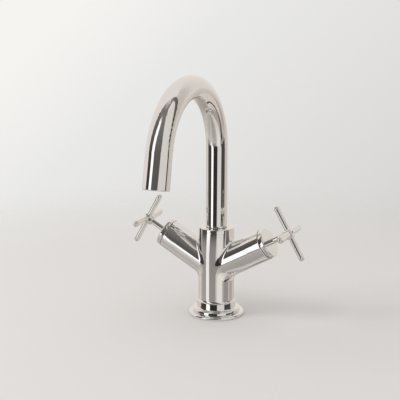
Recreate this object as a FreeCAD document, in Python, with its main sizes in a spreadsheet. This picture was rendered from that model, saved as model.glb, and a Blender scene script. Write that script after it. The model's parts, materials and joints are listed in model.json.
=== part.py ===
import FreeCAD, Part
import math
import os
import Sketcher
from FreeCAD import Placement, Rotation, Vector
from types import SimpleNamespace

# Two-handle basin mixer tap: a Y-shaped body on a plinth, a swan-neck spout and two cross handles.
# The origin is the centre of the underside on the deck. Z is up, the spout reaches towards -Y,
# the hot valve leans out to -X and the cold one to +X.
# A size called "distance" is measured from the column's axis along a valve's slanted axis.
# Lengths are in millimetres and angles in degrees.

SIZES = {
    # General clearances
    "running_clearance": 0.05,
    "seat_clearance": 0.1,
    "joint_clearance": 0.02,
    # Valve chamber in each branch, from the inside out
    "cavity_radius": 7.5,
    "barrel_wall": 1.4,
    "barrel_gap": 0.4,
    "thread_step": 0.95,
    "shoulder_width": 1.75,
    "branch_wall": 4.2,
    "port_distance": 6.0,
    "port_radius": 3.5,
    "seat_distance": 20.0,
    "chamber_length": 18.0,
    "thread_length": 10.0,
    "mouth_depth": 14.3,
    # Slanted branches of the body
    "valve_height": 50.6,
    "valve_rise_angle": 29.1,
    "branch_edge_chamfer": 0.55,
    "junction_round": 3.0,
    # Column of the body
    "column_margin": 2.5,
    "column_rise": 43.4,
    "column_edge_round": 0.6,
    "collar_margin": 2.1,
    "collar_wall": 3.8,
    "collar_fillet": 2.4,
    "foot_shelf": 1.5,
    "foot_wall": 5.5,
    "foot_groove": 0.5,
    # Plinth and its gasket
    "plinth_ledge": 4.4,
    "plinth_side_height": 1.6,
    "plinth_crown_radius": 2.0,
    "plinth_bore_inset": 2.0,
    "plinth_bottom_chamfer": 0.5,
    "gasket_inner_margin": 3.5,
    "gasket_outer_margin": 3.0,
    "gasket_thickness": 1.6,
    # Inlets and stud hole in the underside
    "inlet_side_offset": 7.5,
    "inlet_front_offset": 4.0,
    "inlet_thread_radius": 4.5,
    "inlet_thread_depth": 11.0,
    "inlet_passage_radius": 3.2,
    "stud_wall": 1.9,
    "stud_radius": 4.0,
    "stud_hole_depth": 15.0,
    # Mixing chamber, measured up from the height of the valves
    "mixing_floor_rise": 13.4,
    "mixing_radius": 6.5,
    "cross_passage_rise": 18.4,
    "cross_passage_radius": 2.6,
    # Swivel: slide ring, lock screw, spigot and its seals, from the column's top down
    "spigot_radius": 8.0,
    "spigot_wall": 1.3,
    "spigot_engagement": 16.0,
    "slide_ring_flange": 1.5,
    "slide_ring_thickness": 1.2,
    "slide_ring_proud": 0.2,
    "slide_ring_wall": 1.0,
    "slide_ring_depth": 6.5,
    "swivel_angle": 60.0,
    "lock_gap": 1.65,
    "lock_screw_radius": 2.45,
    "lock_screw_recess": 2.0,
    "lock_dog_radius": 1.5,
    "lock_key_radius": 1.3,
    "lock_key_depth": 2.6,
    "stop_groove_depth": 1.4,
    "stop_land": 1.7,
    "seal_groove_depth": 1.5,
    "seal_groove_width": 2.2,
    "seal_land": 1.8,
    # Spout tube
    "riser_radius": 11.1,
    "riser_length": 83.15,
    "tube_wall": 1.6,
    "arch_radius": 67.1,
    "arch_turn_angle": 168.7,
    "leg_length": 31.5,
    "outlet_radius": 12.6,
    "outlet_wall": 2.3,
    "outlet_round": 0.9,
    # Aerator in the outlet
    "aerator_seat_wall": 1.55,
    "aerator_seat_depth": 9.0,
    "aerator_recess": 0.8,
    "aerator_washer_thickness": 1.5,
    "aerator_washer_width": 2.4,
    "aerator_wall": 1.6,
    "aerator_lip_height": 0.8,
    "aerator_lip_width": 0.5,
    "aerator_key_width": 2.0,
    "strainer_thickness": 4.4,
    "strainer_rim": 1.55,
    "strainer_rib": 0.8,
    # Headpart
    "headpart_foot_gap": 2.0,
    "flange_gap": 0.3,
    "flange_thickness": 2.0,
    "flange_seal_thickness": 1.0,
    "hex_step": 3.5,
    "hex_height": 5.0,
    "nose_wall": 2.15,
    "nose_height": 3.6,
    "window_width": 8.0,
    # Ceramic discs and seat seal
    "seat_seal_height": 3.0,
    "seat_seal_gap": 0.7,
    "seat_seal_width": 2.2,
    "disc_thickness": 3.0,
    "port_inner_radius": 1.6,
    "port_margin": 1.7,
    "port_half_angle": 36.0,
    # Spindle, its seal and circlip
    "spindle_radius": 4.0,
    "tongue_width": 5.0,
    "tongue_height": 5.2,
    "tongue_slot_depth": 1.2,
    "spindle_seal_offset": 6.0,
    "spindle_seal_width": 1.8,
    "spindle_groove_depth": 1.4,
    "circlip_thickness": 0.8,
    "circlip_reach": 1.3,
    "circlip_groove_depth": 0.6,
    "circlip_gap_angle": 60.0,
    "journal_end_gap": 0.9,
    "stem_radius": 2.5,
    "stem_reach": 17.1,
    "sleeve_wall": 0.7,
    # Bonnet cap over the headpart
    "cap_step": 0.5,
    "cap_length": 5.2,
    "cap_front_wall": 2.0,
    "cap_front_round": 1.2,
    "cap_skirt_length": 5.0,
    "cap_skirt_gap": 0.5,
    # Cross handle
    "arm_reach": 31.0,
    "arm_half_width": 3.9,
    "arm_taper_angle": 1.3,
    "arm_thickness": 5.2,
    "arm_flat": 0.4,
    "hub_radius": 5.9,
    "hub_dome_height": 1.4,
    "neck_length": 3.8,
    "neck_step": 1.0,
    "neck_radius": 4.5,
    "collar_radius": 5.2,
    "spindle_engagement": 4.8,
    "handle_screw_radius": 1.2,
    "handle_screw_recess": 0.3,
    "index_radius": 1.15,
    "index_depth": 0.7,
    "index_proud": 0.1,
    # Fixing kit under the deck
    "deck_thickness": 20.0,
    "crescent_side": 9.0,
    "crescent_slot_half_width": 15.0,
    "crescent_slot_round": 6.0,
    "crescent_bridge": 2.7,
    "stud_hole_gap": 0.3,
    "deck_gasket_thickness": 3.0,
    "deck_washer_thickness": 2.5,
    "nut_flats": 13.0,
    "nut_height": 8.0,
    "nut_bevel_angle": 30.0,
    "stud_tail": 12.0,
    "stud_chamfer": 0.8,
}

FULL_ANGLE = 360.0
RIGHT_ANGLE = 90.0
CELL_COUNT = 5
ARM_COUNT = 4
TOLERANCE = 1e-4
PLAIN_CURVES = ("Part::GeomLine", "Part::GeomCircle")
SIDES = {"left": -1, "right": 1}

doc = FreeCAD.newDocument("basin_mixer_tap")


# Sizes and the sums made of them

class Size:
    """A number with the spreadsheet expression that gives it, so that a sum stays tied to its cells."""

    def __init__(self, value, text):
        self.value = value
        self.text = text

    def join(self, other, sign, value, flipped=False):
        text = other.text if isinstance(other, Size) else repr(other)
        first, second = (text, self.text) if flipped else (self.text, text)
        return Size(value, f"({first} {sign} {second})")

    def __add__(self, other):
        return self.join(other, "+", self.value + number(other))

    def __sub__(self, other):
        return self.join(other, "-", self.value - number(other))

    def __mul__(self, other):
        return self.join(other, "*", self.value * number(other))

    def __truediv__(self, other):
        return self.join(other, "/", self.value / number(other))

    def __rsub__(self, other):
        return self.join(other, "-", number(other) - self.value, flipped=True)

    def __rmul__(self, other):
        return self.join(other, "*", number(other) * self.value, flipped=True)

    def __neg__(self):
        return Size(-self.value, f"(0 - {self.text})")


def number(value):
    return value.value if isinstance(value, Size) else value


def sine(angle):
    return Size(math.sin(math.radians(angle.value)), f"sin({angle.text})")


def cosine(angle):
    return Size(math.cos(math.radians(angle.value)), f"cos({angle.text})")


def tangent(angle):
    return sine(angle) / cosine(angle)


def leg_of(hypotenuse, other_leg):
    """The third side of a right-angled triangle."""
    square = hypotenuse * hypotenuse - other_leg * other_leg
    return Size(math.sqrt(square.value), f"sqrt({square.text})")


def arc_sine(opposite, hypotenuse):
    ratio = opposite / hypotenuse
    return Size(math.degrees(math.asin(ratio.value)), f"asin({ratio.text}) / 1 deg")


def make_sheet():
    """Put every driving size in its own cell, under its own name."""
    sheet = doc.addObject("Spreadsheet::Sheet", "Sizes")
    for row, (name, value) in enumerate(SIZES.items(), start=1):
        sheet.set(f"A{row}", name)
        sheet.set(f"B{row}", str(value))
        sheet.setAlias(f"B{row}", name)
    doc.recompute()
    return SimpleNamespace(**{name: Size(value, f"Sizes.{name}") for name, value in SIZES.items()})


S = make_sheet()


# Sketches

def new_body(name):
    body = doc.addObject("PartDesign::Body", name)
    body.Label = name
    return body


def origin_plane(body, role):
    return next(plane for plane in body.Origin.OriginFeatures if plane.Role == role)


def new_sketch(body, name, role="XZ_Plane", height=None):
    """A sketch on an origin plane of its body, lifted off that plane by a height if one is given."""
    sketch = body.newObject("Sketcher::SketchObject", name)
    sketch.AttachmentSupport = [(origin_plane(body, role), "")]
    sketch.MapMode = "FlatFace"
    if height is not None:
        sketch.AttachmentOffset = Placement(Vector(0, 0, height.value), Rotation())
        sketch.setExpression("AttachmentOffset.Base.z", height.text)
    return sketch


def pin_point(sketch, edge, end, across, up):
    """Hold a point of the sketch at its place: on an axis where the place is zero, else by a size."""
    for kind, axis, place in (("DistanceX", -2, across), ("DistanceY", -1, up)):
        if isinstance(place, Size):
            constraint = Sketcher.Constraint(kind, -1, 1, edge, end, place.value)
            index = sketch.addConstraint(constraint)
            sketch.setExpression(f"Constraints[{index}]", place.text)
        else:
            sketch.addConstraint(Sketcher.Constraint("PointOnObject", edge, end, axis))


def hold_radius(sketch, edge, radius):
    index = sketch.addConstraint(Sketcher.Constraint("Radius", edge, radius.value))
    sketch.setExpression(f"Constraints[{index}]", radius.text)


def draw_circle(sketch, radius, across=0, up=0):
    centre = Vector(number(across), number(up), 0)
    edge = sketch.addGeometry(Part.Circle(centre, Vector(0, 0, 1), radius.value))
    pin_point(sketch, edge, 3, across, up)
    hold_radius(sketch, edge, radius)


def short_arc(start, end, radius, turn):
    """The short arc between two points: turn 1 runs counter-clockwise from start to end, -1 clockwise."""
    if turn < 0:
        start, end = end, start
    chord = end - start
    rise = math.sqrt(max(radius ** 2 - (chord.Length / 2) ** 2, 0))
    centre = (start + end) / 2 + Vector(-chord.y, chord.x, 0).normalize() * rise
    angles = [math.atan2(point.y - centre.y, point.x - centre.x) for point in (start, end)]
    if angles[1] < angles[0]:
        angles[1] += 2 * math.pi
    return Part.ArcOfCircle(Part.Circle(centre, Vector(0, 0, 1), radius), *angles)


def draw_outline(sketch, corners):
    """A closed outline. A corner is (across, up), or (across, up, radius, turn) if an arc leaves it."""
    points = [Vector(number(corner[0]), number(corner[1]), 0) for corner in corners]
    ends = []
    for index, corner in enumerate(corners):
        start, end = points[index], points[(index + 1) % len(points)]
        if len(corner) == 2:
            edge = sketch.addGeometry(Part.LineSegment(start, end))
            ends.append((edge, 1, 2))
            continue
        radius, turn = corner[2:]
        edge = sketch.addGeometry(short_arc(start, end, radius.value, turn))
        ends.append((edge, 1, 2) if turn > 0 else (edge, 2, 1))
        hold_radius(sketch, edge, radius)
    for index, corner in enumerate(corners):
        edge, first, _ = ends[index]
        before, _, last = ends[index - 1]
        sketch.addConstraint(Sketcher.Constraint("Coincident", before, last, edge, first))
        pin_point(sketch, edge, first, corner[0], corner[1])


# Features

def bind(feature, prop, size):
    setattr(feature, prop, size.value)
    feature.setExpression(prop, size.text)


def solid_volume(body):
    return body.Tip.Shape.Volume if body.Tip and not body.Tip.Shape.isNull() else 0.0


def finish_feature(body, feature, volume_before, removes):
    """Recompute, and stop if the feature did nothing: a cut that points away from the solid is silent."""
    body.Tip = feature
    doc.recompute()
    change = feature.Shape.Volume - volume_before
    if (change >= -TOLERANCE) if removes else (change <= TOLERANCE):
        raise RuntimeError(f"{body.Label}: {feature.Name} changed nothing")
    return feature


def revolve(body, name, sketch, cut=False, angle=None):
    """Turn a profile about its sketch's vertical axis, to add or to cut."""
    before = solid_volume(body)
    feature = body.newObject("PartDesign::Groove" if cut else "PartDesign::Revolution", name)
    feature.Profile = sketch
    feature.ReferenceAxis = (sketch, ["V_Axis"])
    feature.Angle = FULL_ANGLE
    if angle is not None:
        bind(feature, "Angle", angle)
        feature.Midplane = True
    return finish_feature(body, feature, before, cut)


def pad(body, name, sketch, length, symmetric=False):
    before = solid_volume(body)
    feature = body.newObject("PartDesign::Pad", name)
    feature.Profile = sketch
    bind(feature, "Length", length)
    feature.Midplane = symmetric
    return finish_feature(body, feature, before, False)


def pocket(body, name, sketch, depth, reverse=False, symmetric=False):
    before = solid_volume(body)
    feature = body.newObject("PartDesign::Pocket", name)
    feature.Profile = sketch
    bind(feature, "Length", depth)
    feature.Reversed = reverse
    feature.Midplane = symmetric
    return finish_feature(body, feature, before, True)


def mirror_across_column(body, name, feature, removes=False):
    """Repeat a feature of the body on the other side of the YZ plane."""
    before = solid_volume(body)
    mirrored = body.newObject("PartDesign::Mirrored", name)
    mirrored.Originals = [feature]
    mirrored.MirrorPlane = (origin_plane(body, "YZ_Plane"), [""])
    return finish_feature(body, mirrored, before, removes)


def named_edges(body, wanted):
    """Names of the edges of the body's last feature that pass a test."""
    edges = body.Tip.Shape.Edges
    return [f"Edge{index}" for index, edge in enumerate(edges, start=1) if wanted(edge)]


def dress(body, name, kind, edges, prop, size):
    """Round or bevel edges of the last feature."""
    base = body.Tip
    feature = body.newObject(f"PartDesign::{kind}", name)
    feature.Base = (base, edges)
    bind(feature, prop, size)
    body.Tip = feature
    doc.recompute()
    return feature


def turned_piece(name, corners):
    """A piece made on a lathe: one closed profile of (radius, height) corners turned about Z."""
    body = new_body(name)
    sketch = new_sketch(body, f"{name}_profile")
    draw_outline(sketch, corners)
    revolve(body, f"{name}_turned", sketch)
    return body


def ring_piece(name, inner, outer, low, high):
    """A plain flat ring between two heights."""
    return turned_piece(name, [(inner, low), (outer, low), (outer, high), (inner, high)])


def round_disc(name, radius, low, high):
    return turned_piece(name, [(0, low), (radius, low), (radius, high), (0, high)])


def seal_ring(name, groove_radius, outer_radius, height):
    """A round-section ring that fills the gap between a groove and the bore around it."""
    body = new_body(name)
    section = new_sketch(body, f"{name}_section")
    draw_circle(section, (outer_radius - groove_radius) / 2, (groove_radius + outer_radius) / 2, height)
    revolve(body, f"{name}_turned", section)
    return body


def hex_corners(flats):
    """Corners of a hexagon with this size across its flats."""
    radius = flats / 2 / (leg_of(flats, flats / 2) / flats)
    half = radius / 2
    side = flats / 2
    return [(radius, 0), (half, side), (-half, side), (-radius, 0), (-half, -side), (half, -side)]


def seat_on_valve(piece, side):
    """Place a piece that is drawn upright on the slanted axis of one valve."""
    tilt = RIGHT_ANGLE - S.valve_rise_angle
    piece.Placement = Placement(Vector(0, 0, S.valve_height.value), Rotation(Vector(0, side, 0), tilt.value))
    piece.setExpression("Placement.Base.z", S.valve_height.text)
    piece.setExpression("Placement.Rotation.Angle", tilt.text)


# Radii that follow from the valve chamber, from the inside out

barrel_radius = S.cavity_radius + S.barrel_wall
chamber_radius = barrel_radius + S.barrel_gap
thread_radius = chamber_radius + S.thread_step
counterbore_radius = thread_radius + S.shoulder_width
branch_radius = counterbore_radius + S.branch_wall
cap_radius = branch_radius - S.cap_step
flange_radius = counterbore_radius - S.flange_gap
hex_flats = 2 * thread_radius - S.hex_step
column_radius = branch_radius + S.column_margin
collar_radius = column_radius + S.collar_margin
foot_radius = collar_radius + S.collar_fillet + S.foot_shelf
plinth_radius = foot_radius + S.plinth_ledge
plinth_height = S.plinth_side_height + S.plinth_crown_radius
plinth_bore_radius = column_radius - S.plinth_bore_inset
body_spigot_radius = plinth_bore_radius - S.seat_clearance
stud_back_offset = body_spigot_radius - S.stud_wall - S.stud_radius
spindle_bore = S.spindle_radius + S.running_clearance
sleeve_radius = S.stem_radius + S.running_clearance + S.sleeve_wall


# Distances along a valve's axis

thread_distance = S.seat_distance + S.chamber_length
shoulder_distance = thread_distance + S.thread_length
branch_distance = shoulder_distance + S.mouth_depth
cap_end = branch_distance + S.cap_length
flange_base = shoulder_distance + S.flange_seal_thickness
hex_base = flange_base + S.flange_thickness
hex_end = hex_base + S.hex_height
nose_end = hex_end + S.nose_height
disc_base = S.seat_distance + S.seat_seal_height
moving_base = disc_base + S.disc_thickness + S.joint_clearance
moving_end = moving_base + S.disc_thickness
tongue_base = moving_end - S.tongue_slot_depth
tongue_end = tongue_base + S.tongue_height
cavity_end = tongue_end + S.running_clearance
spindle_seal_distance = thread_distance + S.spindle_seal_offset
circlip_base = nose_end + S.running_clearance
journal_end = circlip_base + S.circlip_thickness + S.journal_end_gap
neck_base = cap_end + S.stem_reach
stem_end = neck_base + S.spindle_engagement
arm_base = neck_base + S.neck_length
hub_distance = arm_base + S.arm_thickness / 2
hub_end = hub_distance + S.arm_thickness / 2 + S.hub_dome_height


# Radii and heights of the swivel, from the column's top down

socket_radius = S.spigot_radius + S.running_clearance
ring_sleeve_radius = socket_radius + S.slide_ring_wall
slide_ring_radius = ring_sleeve_radius + S.slide_ring_flange
seal_groove_radius = S.spigot_radius - S.seal_groove_depth
stop_groove_radius = S.spigot_radius - S.stop_groove_depth
column_height = S.valve_height + S.column_rise
ring_top = column_height + S.slide_ring_proud
ring_seat_height = ring_top - S.slide_ring_thickness
ring_bottom = column_height - S.slide_ring_depth
lock_height = ring_bottom - S.lock_gap - S.lock_screw_radius
stop_half_width = S.lock_dog_radius + S.seat_clearance
upper_seal_height = lock_height - stop_half_width - S.stop_land - S.seal_groove_width / 2
lower_seal_height = upper_seal_height - S.seal_groove_width - S.seal_land
spigot_base = lower_seal_height - S.seal_groove_width / 2 - S.seal_land
socket_floor_height = spigot_base - S.seat_clearance
tube_base = ring_top + S.running_clearance
spring_height = tube_base + S.riser_length


# Plinth and body

gasket_inner_radius = plinth_bore_radius + S.gasket_inner_margin
gasket_outer_radius = plinth_radius - S.gasket_outer_margin


def make_plinth_ring():
    """Low ring under the foot, with a rounded edge and a recess for its gasket."""
    bevel = S.plinth_bottom_chamfer
    return turned_piece("plinth_ring", [
        (plinth_bore_radius, 0),
        (gasket_inner_radius, 0),
        (gasket_inner_radius, S.gasket_thickness),
        (gasket_outer_radius, S.gasket_thickness),
        (gasket_outer_radius, 0),
        (plinth_radius - bevel, 0),
        (plinth_radius, bevel),
        (plinth_radius, S.plinth_side_height, S.plinth_crown_radius, 1),
        (plinth_radius - S.plinth_crown_radius, plinth_height),
        (plinth_bore_radius, plinth_height),
    ])


def make_plinth_gasket():
    inner = gasket_inner_radius + S.seat_clearance
    outer = gasket_outer_radius - S.seat_clearance
    return ring_piece("plinth_gasket", inner, outer, 0, S.gasket_thickness)


def draw_branch_side(sketch):
    """Turn a sketch on the XZ plane so that its vertical axis is the right-hand valve's axis."""
    tilt = RIGHT_ANGLE - S.valve_rise_angle
    rotation = Rotation(Vector(0, 0, -1), tilt.value)
    sketch.AttachmentOffset = Placement(Vector(0, S.valve_height.value, 0), rotation)
    sketch.setExpression("AttachmentOffset.Base.y", S.valve_height.text)
    sketch.setExpression("AttachmentOffset.Rotation.Angle", tilt.text)
    return sketch


def make_mixer_body():
    """The casting: a column on a stepped foot and two slanted branches, then its bores and waterways."""
    body = new_body("mixer_body")
    shelf = plinth_height + S.foot_wall
    collar_bottom = shelf + S.collar_fillet
    collar_top = collar_bottom + S.collar_wall
    edge = S.column_edge_round
    column = new_sketch(body, "column_profile")
    draw_outline(column, [
        (0, 0),
        (body_spigot_radius, 0),
        (body_spigot_radius, plinth_height),
        (foot_radius - S.foot_groove, plinth_height),
        (foot_radius, plinth_height + S.foot_groove),
        (foot_radius, shelf),
        (collar_radius + S.collar_fillet, shelf, S.collar_fillet, -1),
        (collar_radius, collar_bottom),
        (collar_radius, collar_top, S.collar_margin, -1),
        (column_radius, collar_top + S.collar_margin),
        (column_radius, column_height - edge, edge, 1),
        (column_radius - edge, column_height),
        (0, column_height),
    ])
    revolve(body, "column", column)
    bevel = S.branch_edge_chamfer
    branch = draw_branch_side(new_sketch(body, "branch_profile"))
    draw_outline(branch, [
        (0, 0),
        (branch_radius, 0),
        (branch_radius, branch_distance - bevel),
        (branch_radius - bevel, branch_distance),
        (0, branch_distance),
    ])
    first = revolve(body, "cold_branch", branch)
    mirror_across_column(body, "hot_branch", first)
    crossings = named_edges(body, lambda edge: edge.Curve.TypeId not in PLAIN_CURVES)
    dress(body, "junction_rounds", "Fillet", crossings, "Radius", S.junction_round)
    cut_valve_chambers(body)
    cut_spout_socket(body)
    cut_underside(body)
    return body


def cut_valve_chambers(body):
    """Stepped bore of each branch: water port, chamber, headpart thread and the wide mouth."""
    steps = draw_branch_side(new_sketch(body, "chamber_profile"))
    draw_outline(steps, [
        (0, S.port_distance),
        (S.port_radius, S.port_distance),
        (S.port_radius, S.seat_distance),
        (chamber_radius, S.seat_distance),
        (chamber_radius, thread_distance),
        (thread_radius, thread_distance),
        (thread_radius, shoulder_distance),
        (counterbore_radius, shoulder_distance),
        (counterbore_radius, branch_distance + S.branch_edge_chamfer),
        (0, branch_distance + S.branch_edge_chamfer),
    ])
    first = revolve(body, "cold_chamber", steps, cut=True)
    mirror_across_column(body, "hot_chamber", first, removes=True)


def cut_spout_socket(body):
    """Bore for the slide ring and the spigot, the mixing chamber, its feed and the lock screw's hole."""
    socket = new_sketch(body, "socket_profile")
    ring_bore = ring_sleeve_radius + S.joint_clearance
    ring_mouth = slide_ring_radius + S.joint_clearance
    mixing_floor = S.valve_height + S.mixing_floor_rise
    draw_outline(socket, [
        (0, mixing_floor),
        (S.mixing_radius, mixing_floor),
        (S.mixing_radius, socket_floor_height),
        (socket_radius, socket_floor_height),
        (socket_radius, ring_bottom),
        (ring_bore, ring_bottom),
        (ring_bore, ring_seat_height),
        (ring_mouth, ring_seat_height),
        (ring_mouth, ring_top),
        (0, ring_top),
    ])
    revolve(body, "socket", socket, cut=True)
    feed = new_sketch(body, "cross_passage_section", role="YZ_Plane")
    draw_circle(feed, S.cross_passage_radius, up=S.valve_height + S.cross_passage_rise)
    reach = S.seat_distance * cosine(S.valve_rise_angle)
    pocket(body, "cross_passage", feed, 2 * reach, symmetric=True)
    screw_hole = new_sketch(body, "lock_hole_section")
    draw_circle(screw_hole, S.lock_screw_radius + S.joint_clearance, up=lock_height)
    pocket(body, "lock_hole", screw_hole, column_radius + S.column_edge_round)


def cut_underside(body):
    """Threaded inlets with their passages up to the ports, and the blind hole for the fixing stud."""
    passage_top = S.valve_height + S.inlet_side_offset * tangent(S.valve_rise_angle)
    for side, offset in (("hot", -S.inlet_side_offset), ("cold", S.inlet_side_offset)):
        thread = new_sketch(body, f"{side}_inlet_section", role="XY_Plane")
        draw_circle(thread, S.inlet_thread_radius, offset, -S.inlet_front_offset)
        pocket(body, f"{side}_inlet", thread, S.inlet_thread_depth, reverse=True)
        passage = new_sketch(body, f"{side}_passage_section", role="XY_Plane")
        draw_circle(passage, S.inlet_passage_radius, offset, -S.inlet_front_offset)
        pocket(body, f"{side}_passage", passage, passage_top, reverse=True)
    stud = new_sketch(body, "stud_hole_section", role="XY_Plane")
    draw_circle(stud, S.stud_radius + S.joint_clearance, up=stud_back_offset)
    pocket(body, "stud_hole", stud, S.stud_hole_depth, reverse=True)


# Swivel joint of the spout

def make_slide_ring():
    """Flanged plastic bush that carries the spout."""
    return turned_piece("spout_slide_ring", [
        (socket_radius, ring_bottom),
        (ring_sleeve_radius, ring_bottom),
        (ring_sleeve_radius, ring_seat_height),
        (slide_ring_radius, ring_seat_height),
        (slide_ring_radius, ring_top),
        (socket_radius, ring_top),
    ])


def make_lock_screw():
    """Grub screw in the back of the column. Its dog rides in the spigot's groove and stops the swivel."""
    dog_end = stop_groove_radius + S.seat_clearance
    head_start = socket_radius + S.seat_clearance
    tail = column_radius - S.lock_screw_recess
    body = turned_piece("spout_lock_screw", [
        (0, dog_end),
        (S.lock_dog_radius, dog_end),
        (S.lock_dog_radius, head_start),
        (S.lock_screw_radius, head_start),
        (S.lock_screw_radius, tail),
        (0, tail),
    ])
    key = new_sketch(body, "lock_key_section", role="XY_Plane", height=tail)
    draw_outline(key, hex_corners(2 * S.lock_key_radius))
    pocket(body, "lock_key", key, S.lock_key_depth)
    body.Placement = Placement(Vector(0, 0, lock_height.value), Rotation(Vector(-1, 0, 0), RIGHT_ANGLE))
    body.setExpression("Placement.Base.z", lock_height.text)
    return body


def make_spout_spigot():
    """Brass end of the spout: it turns in the column, with two seal grooves and a stop groove."""
    inner = S.riser_radius - S.tube_wall - S.joint_clearance
    top = tube_base + S.spigot_engagement
    half = S.seal_groove_width / 2
    bore = seal_groove_radius - S.spigot_wall
    corners = [(bore, spigot_base), (S.spigot_radius, spigot_base)]
    for height in (lower_seal_height, upper_seal_height):
        corners += [
            (S.spigot_radius, height - half),
            (seal_groove_radius, height - half),
            (seal_groove_radius, height + half),
            (S.spigot_radius, height + half),
        ]
    corners += [(S.spigot_radius, tube_base), (inner, tube_base), (inner, top), (bore, top)]
    body = turned_piece("spout_spigot", corners)
    low = lock_height - stop_half_width
    high = lock_height + stop_half_width
    dog_angle = arc_sine(stop_half_width, stop_groove_radius)
    stop = new_sketch(body, "stop_groove_profile", role="YZ_Plane")
    draw_outline(stop, [
        (stop_groove_radius, low),
        (socket_radius, low),
        (socket_radius, high),
        (stop_groove_radius, high),
    ])
    revolve(body, "stop_groove", stop, cut=True, angle=2 * (S.swivel_angle + dog_angle))
    return body


def make_spout_orings():
    """The two seal rings of the spigot, one node with two rings."""
    outer = socket_radius - S.joint_clearance
    heights = {"lower": lower_seal_height, "upper": upper_seal_height}
    rings = [seal_ring(f"spigot_{place}_ring", seal_groove_radius, outer, height)
             for place, height in heights.items()]
    group = doc.addObject("Part::Compound", "spout_orings")
    group.Label = "spout_orings"
    group.Links = rings
    return group


# Spout tube

aerator_seat_radius = S.outlet_radius - S.aerator_seat_wall


def draw_tube_section(body, name, radius, wall, place):
    """A ring section of the tube: its outside and its bore, on a plane that place puts across the path."""
    section = new_sketch(body, name, role="XY_Plane")
    draw_circle(section, radius)
    draw_circle(section, radius - wall)
    place(section)
    return section


def outlet_point():
    """Height and reach of the outlet's centre: the end of the arch and the straight leg after it."""
    turn = S.arch_turn_angle
    reach = S.arch_radius * (1 - cosine(turn)) + S.leg_length * sine(turn)
    height = spring_height + S.arch_radius * sine(turn) + S.leg_length * cosine(turn)
    return -reach, height


def place_at_outlet(piece, prop, axis_turn):
    """Tie a placement to the outlet's centre, with its Z axis along the water's way out."""
    across, height = outlet_point()
    centre = Vector(0, across.value, height.value)
    setattr(piece, prop, Placement(centre, Rotation(Vector(1, 0, 0), axis_turn.value)))
    piece.setExpression(f"{prop}.Base.y", across.text)
    piece.setExpression(f"{prop}.Base.z", height.text)
    piece.setExpression(f"{prop}.Rotation.Angle", axis_turn.text)


def make_spout_tube():
    """The swan neck: a straight riser, then an arch and a leg that widen steadily towards the outlet."""
    body = new_body("spout_tube")

    def lift(height):
        def place(section):
            section.AttachmentOffset = Placement(Vector(0, 0, height.value), Rotation())
            section.setExpression("AttachmentOffset.Base.z", height.text)
        return place

    riser = draw_tube_section(body, "riser_section", S.riser_radius, S.tube_wall, lift(tube_base))
    pad(body, "riser", riser, spring_height - tube_base)
    start = draw_tube_section(body, "arch_start_section", S.riser_radius, S.tube_wall, lift(spring_height))
    end = draw_tube_section(body, "outlet_section", S.outlet_radius, S.outlet_wall,
                            lambda section: place_at_outlet(section, "AttachmentOffset", S.arch_turn_angle))
    path = new_sketch(body, "neck_path", role="YZ_Plane")
    draw_neck_path(path)
    before = solid_volume(body)
    neck = body.newObject("PartDesign::AdditivePipe", "neck")
    neck.Profile = start
    neck.Spine = (path, ["Edge1", "Edge2"])
    neck.Sections = [(end, [""])]
    neck.Transformation = "Multisection"
    neck.Mode = "Standard"
    finish_feature(body, neck, before, False)
    bore = new_sketch(body, "aerator_seat_section", role="XY_Plane")
    draw_circle(bore, aerator_seat_radius)
    place_at_outlet(bore, "AttachmentOffset", S.arch_turn_angle)
    pocket(body, "aerator_seat", bore, S.aerator_seat_depth)
    across, height = outlet_point()
    centre = Vector(0, across.value, height.value)

    def outlet_rim(edge):
        return edge.BoundBox.Center.distanceToPoint(centre) < S.outlet_round.value \
            and edge.Length > 2 * math.pi * (S.outlet_radius.value - S.outlet_round.value)

    dress(body, "outlet_rim", "Fillet", named_edges(body, outlet_rim), "Radius", S.outlet_round)
    return body


def draw_neck_path(path):
    """Centre line of the arch and the leg, on the YZ plane."""
    turn = S.arch_turn_angle
    across, height = outlet_point()
    arch_end = (-(S.arch_radius * (1 - cosine(turn))), spring_height + S.arch_radius * sine(turn))
    centre = Vector(-S.arch_radius.value, spring_height.value, 0)
    circle = Part.Circle(centre, Vector(0, 0, 1), S.arch_radius.value)
    arch = path.addGeometry(Part.ArcOfCircle(circle, 0, math.radians(turn.value)))
    leg = path.addGeometry(Part.LineSegment(Vector(arch_end[0].value, arch_end[1].value, 0),
                                            Vector(across.value, height.value, 0)))
    path.addConstraint(Sketcher.Constraint("Coincident", arch, 2, leg, 1))
    pin_point(path, arch, 1, 0, spring_height)
    pin_point(path, arch, 2, *arch_end)
    hold_radius(path, arch, S.arch_radius)
    pin_point(path, leg, 2, across, height)


# Aerator

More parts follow.
